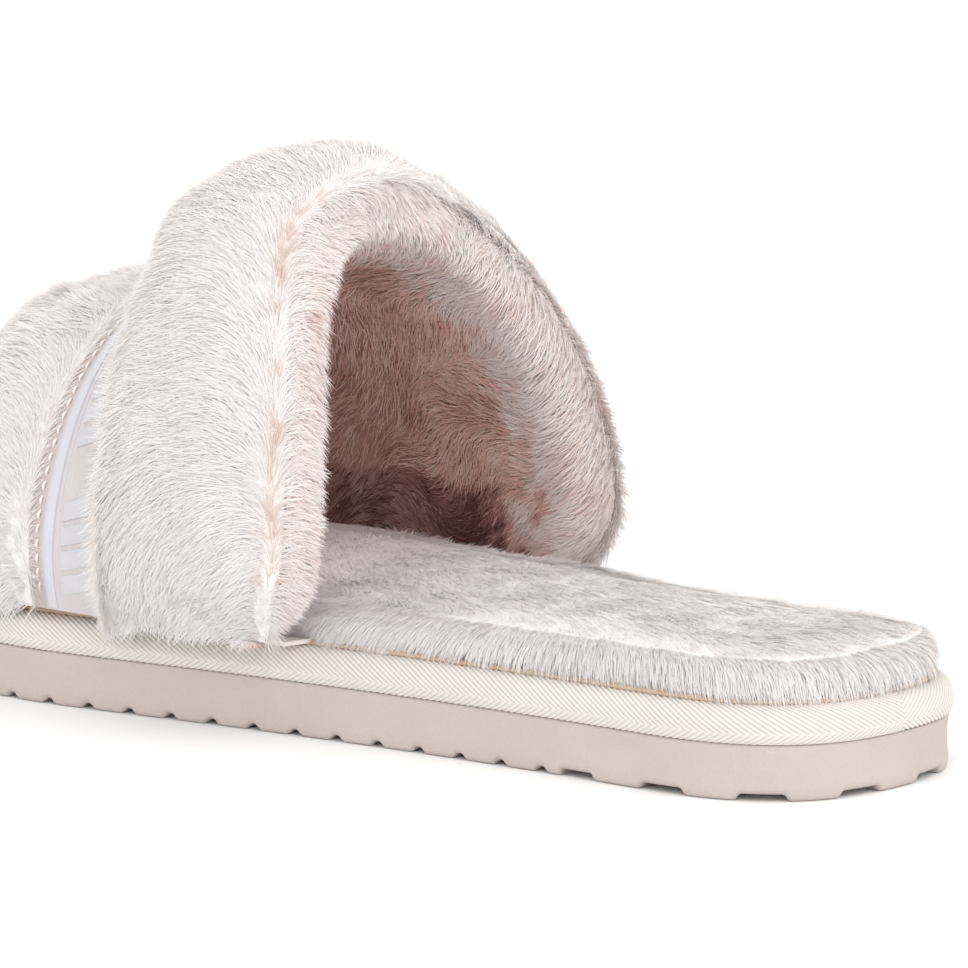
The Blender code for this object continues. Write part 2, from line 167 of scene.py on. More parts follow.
def loop_length(loop):
    return np.linalg.norm(np.roll(loop, -1, axis=0) - loop, axis=1).sum()


def even_loop(points, count, closed=True):
    """Points at even distances along a line."""
    line = np.vstack([points, points[:1]]) if closed else points
    ends = run_along(line)
    places = np.linspace(0.0, ends[-1], count, endpoint=not closed)
    return np.stack([np.interp(places, ends, line[:, k]) for k in range(line.shape[1])], axis=1)


def round_loop(points, count, closed=True, passes=3):
    """A line with its corners rounded off."""
    points = np.array(points)
    for _ in range(passes):
        after = np.roll(points, -1, axis=0)
        cut = np.stack([points * 0.75 + after * 0.25, points * 0.25 + after * 0.75], axis=1)
        cut = cut.reshape(-1, points.shape[1])
        points = cut if closed else np.vstack([points[:1], cut[:-2], points[-1:]])
    return even_loop(points, count, closed)


# Shapes of the CAD part


def smooth_min(a, b, soft=2.5):
    return -soft * np.log(np.exp(-a / soft) + np.exp(-b / soft))


def rounded_end(distance, cap, power):
    share = np.clip((cap - distance) / cap, 0.0, 1.0)
    return np.maximum(1.0 - share**power, 0.0) ** (1.0 / power)


def sole_side(t, side):
    """One side of the outsole's outline, at distances t from the heel end: side is 1 outside, -1 inside."""
    half = smooth_min(HEEL_HALF + FLARE * np.maximum(t - FLARE_FROM, 0.0) ** 2, BALL_HALF)
    if side < 0:
        half = half - WAIST_DEPTH * np.exp(-(((t - WAIST_AT) / WAIST_SPREAD) ** 2))
    half = half * rounded_end(t, HEEL_CAP, HEEL_POWER) * rounded_end(LENGTH - t, TOE_CAP, TOE_POWER)
    shift = np.maximum(t - TOE_SHIFT_FROM, 0.0) / (LENGTH - TOE_SHIFT_FROM)
    return np.stack([side * half - TOE_SHIFT * shift * shift, LENGTH / 2 - t], axis=1)


def sole_outline(count):
    """Even points of the sole's outline, anticlockwise from above, from the heel end."""
    t = LENGTH * (0.5 - 0.5 * np.cos(np.linspace(0.0, pi, 400)))
    return even_loop(np.vstack([sole_side(t, -1)[:-1], sole_side(t, 1)[:0:-1]]), count)


def inset(outline, distance):
    """The outline moved inwards."""
    along = unit(np.roll(outline, -1, axis=0) - np.roll(outline, 1, axis=0))
    return outline + np.stack([-along[:, 1], along[:, 0]], axis=1) * np.reshape(distance, (-1, 1))


def level_ring(outline, depth, z):
    """The outline moved inwards, at a height."""
    return np.column_stack([inset(outline, depth), np.broadcast_to(z, len(outline))])


def spine_of(outline, rear, front, bend_from, bend_length):
    """For each point of an outline, its point on the middle line, which bends inwards at the toe."""
    y = np.clip(outline[:, 1], front, rear)
    return np.column_stack([-TOE_SHIFT * (np.maximum(-y - bend_from, 0.0) / bend_length) ** 2, y])


def limit_width(outline, half):
    """The outline with its half width held to a limit, softly."""
    x = outline[:, 0]
    narrow = np.sign(x) * smooth_min(np.abs(x), half, 1.0)
    return np.stack([np.where(np.abs(x) > 3.0, narrow, x), outline[:, 1]], axis=1)


def arch(y, half, crown, angle, reach=0.0):
    """Points of arches over the foot. angle goes from 0 at the outer side to pi at the inner side."""
    cosine, sine = np.cos(angle), np.sin(angle)
    rise = np.maximum(sine, 0.0) ** (2 / ARCH_POWER)
    z = ARCH_BASE + GAP + (crown - ARCH_BASE - GAP) * rise
    low = np.maximum(1.0 - (z - ARCH_BASE) / TUCK_HEIGHT, 0.0)
    wide = np.clip((half - TUCK_FROM) / (TUCK_TO - TUCK_FROM), 0.0, 1.0)
    x = half * np.sign(cosine) * np.abs(cosine) ** (2 / ARCH_POWER)
    x = x * (1.0 - (BASE_TUCK + (ROLL_TUCK - BASE_TUCK) * wide) * low * low)
    moved = y + reach * rise
    share = np.clip((moved - LEAN_FROM) / (LEAN_TO - LEAN_FROM), 0.0, 1.0)
    height = np.clip((z - ARCH_BASE) / LEAN_HEIGHT, 0.0, 1.0)
    foot = np.maximum(1.0 - (z - ARCH_BASE) / FOOT_HEIGHT, 0.0)
    return np.stack([x, moved - share * (LEAN * height**LEAN_POWER + FOOT_TUCK * foot * foot), z], axis=-1)


def lining_arch(y):
    """Half width and crown of the space for the foot."""
    share = np.clip((y - LINING_FRONT) / (LINING_REAR - LINING_FRONT), 0.0, 1.0)
    return SPACE_HALF, SPACE_CROWN + SPACE_RISE * share


def above_space(y, offset):
    """Section point (y, half width, crown, reach) at a distance from the space for the foot."""
    half, crown = lining_arch(y)
    return (y, half + offset, crown + offset, 0.0)


def sweep(section, angles):
    """Grid of points: one row for each angle, one column for each point of the section."""
    y, half, crown, reach = (section[None, :, k] for k in range(4))
    return arch(y, half, crown, angles[:, None], reach)


def arch_angles(steps):
    return np.linspace(0.0, pi, steps + 1)


# Surfaces


class Surface:
    """Rows and columns of points in millimetres, with outward normals and the ways of rows and columns."""

    def __init__(self, points, wrap_rows=False, wrap_cols=False, flip=False):
        self.points, self.wrap_rows, self.wrap_cols, self.flip = points, wrap_rows, wrap_cols, flip
        self.measure()

    def slope(self, axis, wrap):
        if wrap:
            return (np.roll(self.points, -1, axis=axis) - np.roll(self.points, 1, axis=axis)) / 2
        return np.gradient(self.points, axis=axis)

    def measure(self):
        self.along_rows = self.slope(0, self.wrap_rows)
        self.along_cols = self.slope(1, self.wrap_cols)
        self.normals = unit(np.cross(self.along_rows, self.along_cols)) * (-1.0 if self.flip else 1.0)

    def turn(self, row, col, up=1):
        """Turns the normals over where needed, so that they look up, or down, at one point."""
        self.flip = self.normals[row, col, 2] * up < 0
        self.measure()

    def push(self, distance):
        """Moves every point along its normal."""
        self.points = self.points + self.normals * self.spread(distance)[..., None]
        self.measure()

    def spread(self, values):
        """Values for every point, from values for each row or column."""
        return np.broadcast_to(values, self.points.shape[:2])

    def quads(self):
        rows, cols = self.points.shape[:2]
        i = np.arange(rows if self.wrap_rows else rows - 1)
        j = np.arange(cols if self.wrap_cols else cols - 1)
        i, j = (a.ravel() for a in np.meshgrid(i, j, indexing="ij"))
        next_i, next_j = (i + 1) % rows, (j + 1) % cols
        corners = [i * cols + j, next_i * cols + j, next_i * cols + next_j, i * cols + next_j]
        return np.stack(corners[::-1] if self.flip else corners, axis=1), i, j

    def ends(self):
        """Faces that close the first and the last row, before any turning over."""
        rows, cols = self.points.shape[:2]
        index = np.arange(rows * cols).reshape(rows, cols)
        return [index[0].tolist(), index[-1][::-1].tolist()]

    def flat(self):
        return self.points.reshape(-1, 3)

    def noise(self, scale, salt):
        return noise(self.flat(), scale, salt).reshape(self.points.shape[:2])


def new_mesh(name, points, faces):
    """A mesh in metres, from points in millimetres."""
    mesh = bpy.data.meshes.new(name)
    mesh.from_pydata((np.asarray(points) * MM).tolist(), [], faces)
    return mesh


def mesh_piece(name, points, faces, material, slot, smooth_angle=50.0):
    mesh = new_mesh(name, points, faces)
    mesh.materials.append(material)
    mesh.shade_smooth()
    mesh.set_sharp_from_angle(angle=math.radians(smooth_angle))
    return place(name, mesh, slot)


def add_object(name, data):
    obj = bpy.data.objects.new(name, data)
    SCENE.collection.objects.link(obj)
    return obj


def place(name, mesh, slot):
    obj = add_object(name, mesh)
    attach(obj, "root")
    return obj


def write_uv(piece, name, values):
    """A UV layer that carries one value from 0 to 1 for each point, for the material to read."""
    corners = np.empty(len(piece.data.loops), np.int32)
    piece.data.loops.foreach_get("vertex_index", corners)
    spots = np.stack([values.ravel(), np.full(values.size, 0.5)], axis=1)[corners]
    piece.data.uv_layers.new(name=name).data.foreach_set("uv", spots.astype(np.float32).ravel())


def tube_faces(rings, count, start=0):
    """Quads between neighbouring rings of count points, numbered from start."""
    faces = []
    for low in range(start, start + (rings - 1) * count, count):
        for k in range(count):
            step = (k + 1) % count
            faces.append([low + k, low + step, low + count + step, low + count + k])
    return faces


def surface_piece(name, surface, material, slot, caps=0, smooth_angle=50.0):
    """A piece from a surface. caps says how many of its ends get a face: the first row's, then the last's."""
    faces = surface.quads()[0].tolist()
    for loop in surface.ends()[:caps]:
        faces.append(loop[::-1] if surface.flip else loop)
    return mesh_piece(name, surface.flat(), faces, material, slot, smooth_angle)


# Materials


class Look:
    """A procedural material made of nodes."""

    def __init__(self, name, roughness=0.9, specular=0.5, **constants):
        self.material = bpy.data.materials.new(name)
        self.material.use_nodes = True
        self.tree = self.material.node_tree
        self.shader = self.tree.nodes["Principled BSDF"]
        self.shader.inputs["Roughness"].default_value = roughness
        self.shader.inputs["Specular IOR Level"].default_value = specular
        for socket, value in constants.items():
            self.shader.inputs[socket.replace("_", " ")].default_value = value

    def node(self, kind, inputs=None, **settings):
        made = self.tree.nodes.new(kind)
        for key, value in settings.items():
            setattr(made, key, value)
        for key, value in (inputs or {}).items():
            if isinstance(value, bpy.types.NodeSocket):
                self.tree.links.new(value, made.inputs[key])
            else:
                made.inputs[key].default_value = value
        return made

    def join(self, output, socket):
        self.tree.links.new(output, self.shader.inputs[socket])

    def place(self):
        return self.node("ShaderNodeTexCoord").outputs["Object"]

    def spots(self, scale, detail=3.0):
        inputs = {"Vector": self.place(), "Scale": scale, "Detail": detail}
        return self.node("ShaderNodeTexNoise", inputs).outputs["Fac"]

    def lookup(self, layer):
        """Both numbers that a UV layer carries."""
        uv = self.node("ShaderNodeUVMap", uv_map=layer).outputs["UV"]
        parts = self.node("ShaderNodeSeparateXYZ", {"Vector": uv}).outputs
        return parts["X"], parts["Y"]

    def ramp(self, value, stops):
        made = self.node("ShaderNodeValToRGB", {"Fac": value})
        elements = made.color_ramp.elements
        while len(elements) < len(stops):
            elements.new(0.5)
        for element, (position, colour) in zip(elements, stops):
            element.position, element.color = position, (*colour, 1.0)
        return made.outputs["Color"]

    def mix(self, share, a, b, blend="MIX"):
        made = self.node("ShaderNodeMix", {"Factor": share}, data_type="RGBA", blend_type=blend)
        for value, socket in ((a, made.inputs[6]), (b, made.inputs[7])):
            if isinstance(value, bpy.types.NodeSocket):
                self.tree.links.new(value, socket)
            else:
                socket.default_value = (*value, 1.0)
        return made.outputs[2]

    def math(self, operation, a, b=0.0):
        return self.node("ShaderNodeMath", {0: a, 1: b}, operation=operation).outputs[0]

    def finish(self, colour, height, distance, strength=1.0):
        """Joins up the colour and the bump, and gives the material."""
        self.join(colour, "Base Color")
        made = self.node("ShaderNodeBump", {"Height": height, "Distance": distance, "Strength": strength})
        self.join(made.outputs["Normal"], "Normal")
        return self.material


def strand_look(name, along, tones, sheen):
    """Fur strands: colour from root to tip, times the strand's tone, which varies at random and in places
    carries painted shade. Both come from the strand's UVs.
    """
    look = Look(name, roughness=0.75, specular=0.25, Sheen_Weight=sheen, Sheen_Roughness=0.5)
    tone, height = look.lookup("OFBake")
    hair, shade = look.ramp(height, along), look.ramp(tone, tones)
    look.join(look.mix(1.0, hair, shade, "MULTIPLY"), "Base Color")
    return look.material


def soft_look(name, light, dark, scale, grain, depth, roughness=0.95, **constants):
    """A soft or matt material: mottled colour with a fine grain."""
    look = Look(name, roughness=roughness, **constants)
    colour = look.ramp(look.spots(scale), [(0.35, dark), (0.65, light)])
    return look.finish(colour, look.spots(grain, 2.0), depth)


def lining_skin_look():
    """Knitted ground of the lining's pile: its own cream along the edges, and painted shade that turns it
    brown further inside. The share is in the UVs.
    """
    look = Look("lining_backing", roughness=0.95, specular=0.2)
    share, _ = look.lookup("depth")
    # inner is painted shade: the brown of the lining's shadowed inside
    inner = look.ramp(look.spots(160.0), [(0.35, (0.34, 0.19, 0.16)), (0.65, (0.50, 0.32, 0.27))])
    return look.finish(look.mix(share, inner, (0.91, 0.87, 0.85)), look.spots(1800.0, 2.0), 0.0003)


def tape_look():
    """Cotton twill tape: yarns that lie across the ribs, with the colour of the threads varying a little, and
    painted shade in the valleys between the ribs.
    """
    look = Look("tape_cotton", roughness=0.92, Sheen_Weight=0.15, Sheen_Roughness=0.5, specular=0.2)
    yarn = look.spots(2600.0, 1.0)
    blotch = look.spots(45.0, 2.0)
    # Painted shade: darker in the valleys between the ribs
    relief, _ = look.lookup("relief")
    shade = look.ramp(relief, [(0.0, (0.60, 0.56, 0.52)), (0.3, (0.84, 0.81, 0.79)), (0.6, (1.0, 1.0, 1.0))])
    base = look.ramp(blotch, [(0.3, (0.86, 0.81, 0.76)), (0.7, (0.90, 0.86, 0.81))])
    threads = look.mix(look.math("MULTIPLY", yarn, 0.2), base, (0.66, 0.58, 0.50))
    return look.finish(look.mix(1.0, threads, shade, "MULTIPLY"), yarn, 0.00012, 0.6)


def rubber_look():
    """Matt moulded rubber, with a fine grain and faint specks."""
    look = Look("outsole_rubber", roughness=0.62, specular=0.35)
    base = look.ramp(look.spots(60.0), [(0.3, (0.57, 0.495, 0.455)), (0.7, (0.605, 0.53, 0.487))])
    speck = look.ramp(look.spots(1500.0, 2.0), [(0.45, (0.97, 0.97, 0.97)), (0.6, (1.0, 1.0, 1.0))])
    look.join(look.ramp(look.spots(220.0), [(0.3, (0.55,) * 3), (0.7, (0.7,) * 3)]), "Roughness")
    return look.finish(look.mix(1.0, base, speck, "MULTIPLY"), look.spots(2400.0, 2.0), 0.00008, 0.5)


def elastic_look():
    """Knitted elastic: fine wales along the band."""
    look = Look("elastic", roughness=0.7, Sheen_Weight=0.2, Sheen_Roughness=0.4, specular=0.3)
    bands = {"Vector": look.place(), "Scale": 420.0, "Distortion": 1.2, "Detail": 1.0}
    wave = look.node("ShaderNodeTexWave", bands, wave_type="BANDS", bands_direction="Y")
    wales = wave.outputs["Fac"]
    base = look.ramp(look.spots(70.0), [(0.3, (0.655, 0.60, 0.60)), (0.7, (0.70, 0.65, 0.65))])
    border, _ = look.lookup("border")
    ground = look.mix(border, base, (0.60, 0.515, 0.49))
    colour = look.mix(look.math("MULTIPLY", wales, 0.3), ground, (0.57, 0.49, 0.48))
    return look.finish(colour, wales, 0.0001, 0.6)


def film_look(name, light, dark):
    """Satin printed film."""
    look = Look(name, roughness=0.38, Coat_Weight=0.15, Coat_Roughness=0.3, specular=0.45)
    colour = look.ramp(look.spots(180.0), [(0.35, dark), (0.65, light)])
    return look.finish(colour, look.spots(900.0, 2.0), 0.00006, 0.5)


# Tones of the outer fur: the tan at 0 is partly the roots' own colour, partly painted shade in the seam's
# parting
FUR = strand_look(
    "fur",
    [(0.0, (0.90, 0.85, 0.82)), (0.3, (0.92, 0.88, 0.86)),
     (0.6, (0.925, 0.885, 0.865)), (1.0, (0.93, 0.89, 0.87))],
    [(0.0, (0.80, 0.66, 0.57)), (0.22, (0.93, 0.89, 0.87)),
     (0.5, (0.98, 0.97, 0.965)), (1.0, (1.0, 1.0, 1.0))],
    sheen=0.12,
)
# The lining's fur is cream; its lower tones are painted shade, pink-brown inside, down to a near-black
# painted shadow at 0
LINING_FUR = strand_look(
    "lining_fur",
    [(0.0, (0.72, 0.62, 0.58)), (0.4, (0.88, 0.83, 0.81)), (1.0, (0.96, 0.94, 0.93))],
    [(0.0, (0.11, 0.025, 0.022)), (0.38, (0.84, 0.51, 0.44)), (0.58, (0.90, 0.70, 0.63)),
     (0.8, (0.95, 0.88, 0.85)), (1.0, (1.0, 0.975, 0.965))],
    sheen=0.1,
)
FUR_SKIN = soft_look("fur_backing", (0.92, 0.885, 0.87), (0.89, 0.84, 0.82), 160.0, 1800.0, 0.0003)
LINING_SKIN = lining_skin_look()
TAPE = tape_look()
BINDING = soft_look("tape_edge", (0.66, 0.52, 0.39), (0.56, 0.42, 0.30), 400.0, 2500.0, 0.0002)
RUBBER = rubber_look()
ELASTIC = elastic_look()
STRIPE_FILM = film_look("stripe_film", (0.68, 0.675, 0.72), (0.65, 0.645, 0.69))
MOTIF_FILM = film_look("motif_film", (0.65, 0.64, 0.675), (0.625, 0.615, 0.65))
THREAD = soft_look(
    "thread", (0.97, 0.96, 0.94), (0.90, 0.88, 0.86), 900.0, 3000.0, 0.0001, roughness=0.3, Metallic=0.25
)
FOAM = soft_look("eva_foam", (0.84, 0.80, 0.76), (0.79, 0.75, 0.70), 90.0, 1500.0, 0.0002)
BOARD = soft_look("fibre_board", (0.60, 0.50, 0.38), (0.52, 0.42, 0.31), 200.0, 1200.0, 0.0002)
MARGIN = soft_look("lasting_margin", (0.84, 0.79, 0.73), (0.80, 0.74, 0.68), 300.0, 1600.0, 0.0002)
KNIT = soft_look("backing_knit", (0.74, 0.65, 0.57), (0.66, 0.57, 0.49), 300.0, 1600.0, 0.0002)


# Fur


def bilinear(grid, i, j, next_i, next_j, a, b):
    """Values inside the cells of a grid."""
    a, b = a[:, None], b[:, None]
    low = grid[i, j] * (1 - b) + grid[i, next_j] * b
    high = grid[next_i, j] * (1 - b) + grid[next_i, next_j] * b
    return low * (1 - a) + high * a


def scatter(surface, density, rng, weight=None):
    """Random roots on a surface, density to the square millimetre: their places, normals, row and column
    directions, and shares of the way along rows and columns. weight, from 0 to 1, thins them out."""
    rows, cols = surface.points.shape[:2]
    _, i, j = surface.quads()
    next_i, next_j = (i + 1) % rows, (j + 1) % cols
    area = np.linalg.norm(np.cross(surface.along_rows[i, j], surface.along_cols[i, j]), axis=1)
    if weight is not None:
        area = area * weight[i, j]
    count = int(area.sum() * density)
    pick = rng.choice(len(area), size=count, p=area / area.sum())
    i, j, next_i, next_j = i[pick], j[pick], next_i[pick], next_j[pick]
    a, b = rng.random(count), rng.random(count)
    spots = [bilinear(g, i, j, next_i, next_j, a, b) for g in
             (surface.points, surface.normals, surface.along_rows, surface.along_cols)]
    roots, normals, along, across = spots[0], unit(spots[1]), unit(spots[2]), unit(spots[3])
    return roots, normals, along, across, (i + a) / (rows - 1), (j + b) / (cols - 1)


def strands(roots, normals, flow, length, lift, rng, salt, clump, gather=0.14, width=0.14, droop=0.08,
            twist=0.15, straying=0.09, unruly=1.0):
    """Strand ribbons: points (strand, 7, 3), shading normals of the same shape, and each clump's own number.

    flow is the way the hair is brushed, lift the angle at the root in radians. Strands of one clump, clump
    millimetres across, lean together, and their tips draw towards its middle by the share gather. twist turns
    ribbons about their axis, straying is the share that stands up, and unruly scales how far locks turn."""
    count = len(roots)
    centre, number = nearest_seed(roots + noise(roots, 2.0, 91)[:, None] * 0.5, clump, salt)
    _, lock_number = nearest_seed(roots, clump * 2.6, salt + 20)
    flow = unit(flow - normals * np.sum(flow * normals, axis=1, keepdims=True))
    across = np.cross(normals, flow)
    turn = unruly * ((number - 0.5) * 0.22 + (lock_number - 0.5) * 0.28 + rng.normal(0.0, 0.22, count))
    flow = flow * np.cos(turn)[:, None] + across * np.sin(turn)[:, None]
    stray = rng.random(count) < straying
    lift = lift * (1.0 + (number - 0.5) * 0.25) + rng.normal(0.0, 0.06, count)
    lift = lift + stray * rng.uniform(0.1, 0.5, count)
    length = length * rng.uniform(0.62, 1.08, count) * (0.93 + 0.14 * number)
    pull = centre - roots
    pull = pull - normals * np.sum(pull * normals, axis=1, keepdims=True)
    spine = [roots - normals * ROOT_DEPTH]
    for share, bend, fall in STRAND_STEPS:
        angle = (np.clip(lift * bend, 0.0, 1.4) - fall * ~stray)[:, None]
        move = flow * np.cos(angle) + normals * np.sin(angle)
        spine.append(spine[-1] + move * (length * share)[:, None])
    for k in range(1, 4):
        spine[k] = spine[k] + pull * (gather * STRAND_REACH[k])
        spine[k][:, 2] -= droop * length * STRAND_REACH[k] ** 2 * (1.0 - np.clip(normals[:, 2], 0.0, 1.0))
    axis = unit(spine[3] - spine[0])
    roll = rng.normal(0.0, twist, count)[:, None]
    side = unit(np.cross(axis, normals))
    side = unit(side * np.cos(roll) + np.cross(axis, side) * np.sin(roll))
    face = np.cross(side, axis)
    face = face * np.sign(np.sum(face * normals, axis=1, keepdims=True) + 1e-9)
    half = (width * rng.uniform(0.75, 1.25, count))[:, None] / 2
    points = [spine[0] - side * half, spine[0] + side * half, spine[1] - side * half, spine[1] + side * half]
    points += [spine[2] - side * half * STRAND_TAPER, spine[2] + side * half * STRAND_TAPER, spine[3]]
    shade = unit(normals * 0.95 + face * 0.06)
    return np.stack(points, axis=1), np.repeat(shade[:, None, :], 7, axis=1), number


def fur_pieces(name, points, shade, tone, material, slot):
    """Strand ribbons as pieces of real mesh, each of at most MAX_STRANDS strands."""
    made = []
    order = np.argsort(points[:, 0, 1], kind="stable")
    parts = max(1, math.ceil(len(order) / MAX_STRANDS))
    for number, part in enumerate(np.array_split(order, parts)):
        label = name if parts == 1 else f"{name}_{number + 1}"
        count = len(part)
        faces = (np.arange(count)[:, None, None] * 7 + STRAND_FACES[None]).reshape(-1)
        uv = np.empty((count, 7, 2), np.float32)
        uv[..., 0] = 0.03 + 0.94 * np.clip(tone[part], 0, 1)[:, None] + STRAND_U
        uv[..., 1] = 0.02 + 0.96 * STRAND_V
        mesh = bpy.data.meshes.new(label)
        mesh.vertices.add(count * 7)
        mesh.vertices.foreach_set("co", (points[part] * MM).astype(np.float32).ravel())
        mesh.loops.add(len(faces))
        mesh.loops.foreach_set("vertex_index", faces.astype(np.int32))
        mesh.polygons.add(len(faces) // 3)
        mesh.polygons.foreach_set("loop_start", np.arange(0, len(faces), 3, dtype=np.int32))
        mesh.update(calc_edges=True)
        layer = mesh.uv_layers.new(name="OFBake")
        layer.data.foreach_set("uv", uv.reshape(-1, 2)[faces].ravel())
        mesh.shade_smooth()
        normal = mesh.attributes.new("custom_normal", "FLOAT_VECTOR", "POINT")
        normal.data.foreach_set("vector", shade[part].astype(np.float32).ravel())
        mesh.materials.append(material)
        made.append(place(label, mesh, slot))
    return made


def upwards(along, row):
    """The way up the arch, for roots at a share row of the way over it."""
    return along * np.sign(np.cos(row * pi))[:, None]


def density(full):
    return full * 1.0


# Sole


def notch_height(distance, total):
    """Height of the outsole's lower edge, with rounded notches between its lugs."""
    from_heel = np.minimum(distance, total - distance)
    heel = np.abs((from_heel % HEEL_LUG_PITCH) - HEEL_LUG_PITCH / 2)
    wide = 1.4 * ease(6.0, 4.6, heel)
    fore = np.abs(((from_heel - HEEL_LUG_REACH) % LUG_PITCH) - LUG_PITCH / 2)
    narrow = 1.2 * ease(2.1, 0.5, fore)
    return np.where(from_heel < HEEL_LUG_REACH, wide, narrow)


def make_outsole():
    """Moulded rubber outsole: scalloped rim, slightly dished wall and a tread field underneath."""
    count = 900
    wall = inset(sole_outline(count), 0.9)
    total = loop_length(wall)
    distance = np.linspace(0.0, total, count, endpoint=False)
    lift = notch_height(distance, total)
    rows = []
    spine = spine_of(wall, 100.0, -92.0, 40.0, 95.0)
    rim = inset(wall, 9.0)
    for share in (0.0, 0.12, 0.24, 0.36, 0.48, 0.6, 0.72, 0.84, 0.93, 0.98):
        flat = spine + (rim - spine) * share
        grooves = ease(0.55, 0.95, np.abs(np.sin(flat[:, 1] * pi / 8.0 + flat[:, 0] * 0.06)))
        rows.append(np.column_stack([flat, 1.4 + 1.0 * grooves * (share < 0.9)]))
    underside = [(9.0, 2.4), (8.4, np.minimum(lift * 1.6, 2.4) + 0.05), (5.0, np.minimum(lift * 1.7, 2.4))]
    lower_edge = [(2.4, lift * 1.15), (1.3, lift), (0.7, lift + 0.2), (0.25, lift + 0.65), (0.05, lift + 1.3)]
    dished_wall = [(0.1, np.maximum(lift + 1.9, 3.0)), (0.25, 4.6), (0.35, 6.8), (0.25, 9.2), (0.0, 10.8)]
    top = [(0.1, 11.3), (0.5, 11.5), (2.6, OUTSOLE_TOP), (9.0, OUTSOLE_TOP)]
    for depth, z in underside + lower_edge + dished_wall + top:
        rows.append(level_ring(wall, depth, z))
    surface = Surface(np.array(rows), wrap_cols=True, flip=True)
    piece = surface_piece("rubber_outsole", surface, RUBBER, "outsole_rubber", 2, 60.0)
    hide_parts("outsole")


def make_tape():
    """Herringbone tape round the platform's edge, its ribs as real raised mesh, with painted shade for the
    valleys between them.
    """
    low, high = OUTSOLE_TOP, TAPE_TOP
    profile = [(9.0, low), (4.0, low), (1.0, low), (0.4, low + 0.4), (-0.1, low + 1.9), (-0.1, low + 3.4)]
    profile += [(0.7, high - 1.7), (2.2, high - 0.4), (4.2, high), (6.2, high - 0.3), (9.0, high - 0.6)]
    fine = round_loop(profile, 260, closed=False)
    run = run_along(fine)
    total_run = run[-1]
    shown = np.arange(5.0, total_run - 2.4, TAPE_STEP)
    places = np.hstack([np.linspace(0.0, 4.6, 4), shown, [total_run - 1.2, total_run]])
    section = np.stack([np.interp(places, run, fine[:, k]) for k in (0, 1)], axis=1)
    outline = sole_outline(TAPE_COUNT)
    points = np.array([level_ring(outline, depth, z) for depth, z in section])
    surface = Surface(points, wrap_cols=True, flip=True)
    total = loop_length(outline)
    along = np.linspace(0.0, total, TAPE_COUNT, endpoint=False)
    apex = run[np.argmin(np.abs(fine[:, 1] - (low + 2.2)) + (fine[:, 0] > 3.0) * 9.0)]
    pitch = total / round(total / RIB_PITCH)
    heel_side = np.where(along < total / 2, along, total - along)
    phase = (heel_side[None, :] - np.abs(places - apex)[:, None] * RIB_SLOPE) / pitch
    rib = np.cos(phase * 2 * pi)
    edge = ease(4.8, 5.6, places) * ease(total_run - 2.2, total_run - 3.2, places)
    ridge = 0.07 * np.exp(-(((places - apex) / 0.35) ** 2))
    surface.push((RIB_HEIGHT * rib - ridge[:, None]) * edge[:, None])
    piece = surface_piece("herringbone_tape", surface, TAPE, "tape_cotton", 0, 80.0)
    # Painted shade for the material: 0 in the valleys between ribs, 1 on their tops, evened out along the
    # ridge
    relief = 0.5 + 0.5 * rib * edge[:, None] * (1.0 - 8.0 * ridge[:, None])
    write_uv(piece, "relief", relief)
    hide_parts("binding_tape")


def make_tape_edge():
    """Tan edge along the tape's top, like a flat cord with fine ribs."""
    path = sole_outline(CORD_COUNT)
    rows = []
    for angle in np.linspace(0.0, 2 * pi, 12, endpoint=False):
        depth, z = CORD_IN + CORD_HALF * math.cos(angle), CORD_Z + CORD_RISE * math.sin(angle)
        rows.append(level_ring(path, depth, z))
    cord = Surface(np.array(rows), wrap_rows=True, wrap_cols=True)
    ribs = np.cos(np.linspace(0.0, 2 * pi * CORD_RIBS, CORD_COUNT, endpoint=False))
    cord.push(0.08 * ribs)
    surface_piece("tape_top_edge", cord, BINDING, "tape_cotton")


def footbed_surface():
    """Skin of the footbed: a low cushion with a rounded rim, hollowed a little where the foot rests."""
    rim = limit_width(inset(sole_outline(520), 4.6), FOOTBED_HALF_LIMIT)
    spine = spine_of(rim, 96.0, -88.0, 35.5, 99.0)
    wall = ((1.2, 20.2), (0.5, 20.9), (0.1, 22.4), (0.2, 24.4), (0.8, 26.4), (2.2, 28.0))
    rows = [level_ring(rim, depth, z) for depth, z in wall]
    start = inset(rim, 2.2)
    for share in np.linspace(0.06, 1.0, 30):
        flat = start + (spine - start) * share
        dome = 28.0 + 2.2 * ease(0.0, 0.45, share)
        heel = 1.3 * np.exp(-((flat[:, 0] / 24.0) ** 2 + ((flat[:, 1] - 84.0) / 34.0) ** 2))
        rows.append(np.column_stack([flat, dome - heel]))
    surface = Surface(np.array(rows), wrap_cols=True)
    surface.turn(20, 0)
    surface.push(surface.noise(16.0, 5) * 0.5 + surface.noise(7.0, 6) * 0.2)
    return surface


